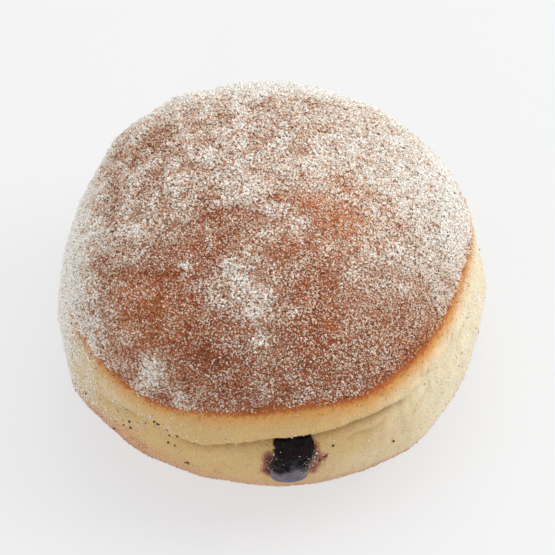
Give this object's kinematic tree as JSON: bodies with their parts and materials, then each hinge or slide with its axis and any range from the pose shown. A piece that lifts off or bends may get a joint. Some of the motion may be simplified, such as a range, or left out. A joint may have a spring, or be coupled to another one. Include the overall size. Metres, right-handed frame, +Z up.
{
  "type": "jelly filled doughnut",
  "caption": "Plump round fried doughnut with a pale belt, a sugar-dusted brown crust and dark jelly that has run out under the crust's edge.",
  "frame": {"origin": "middle of the flat spot that the doughnut rests on", "axes": "+Z up from the resting spot, -Y towards the side where the jelly comes out, +X to the right as seen from that side"},
  "size_m": [0.0845, 0.0888, 0.055],
  "materials": {
    "fried_dough": "matte",
    "dark_jelly": "gloss"
  },
  "bodies": {
    "root": {"dough": "fried_dough", "jelly": "dark_jelly"}
  },
  "joints": []
}
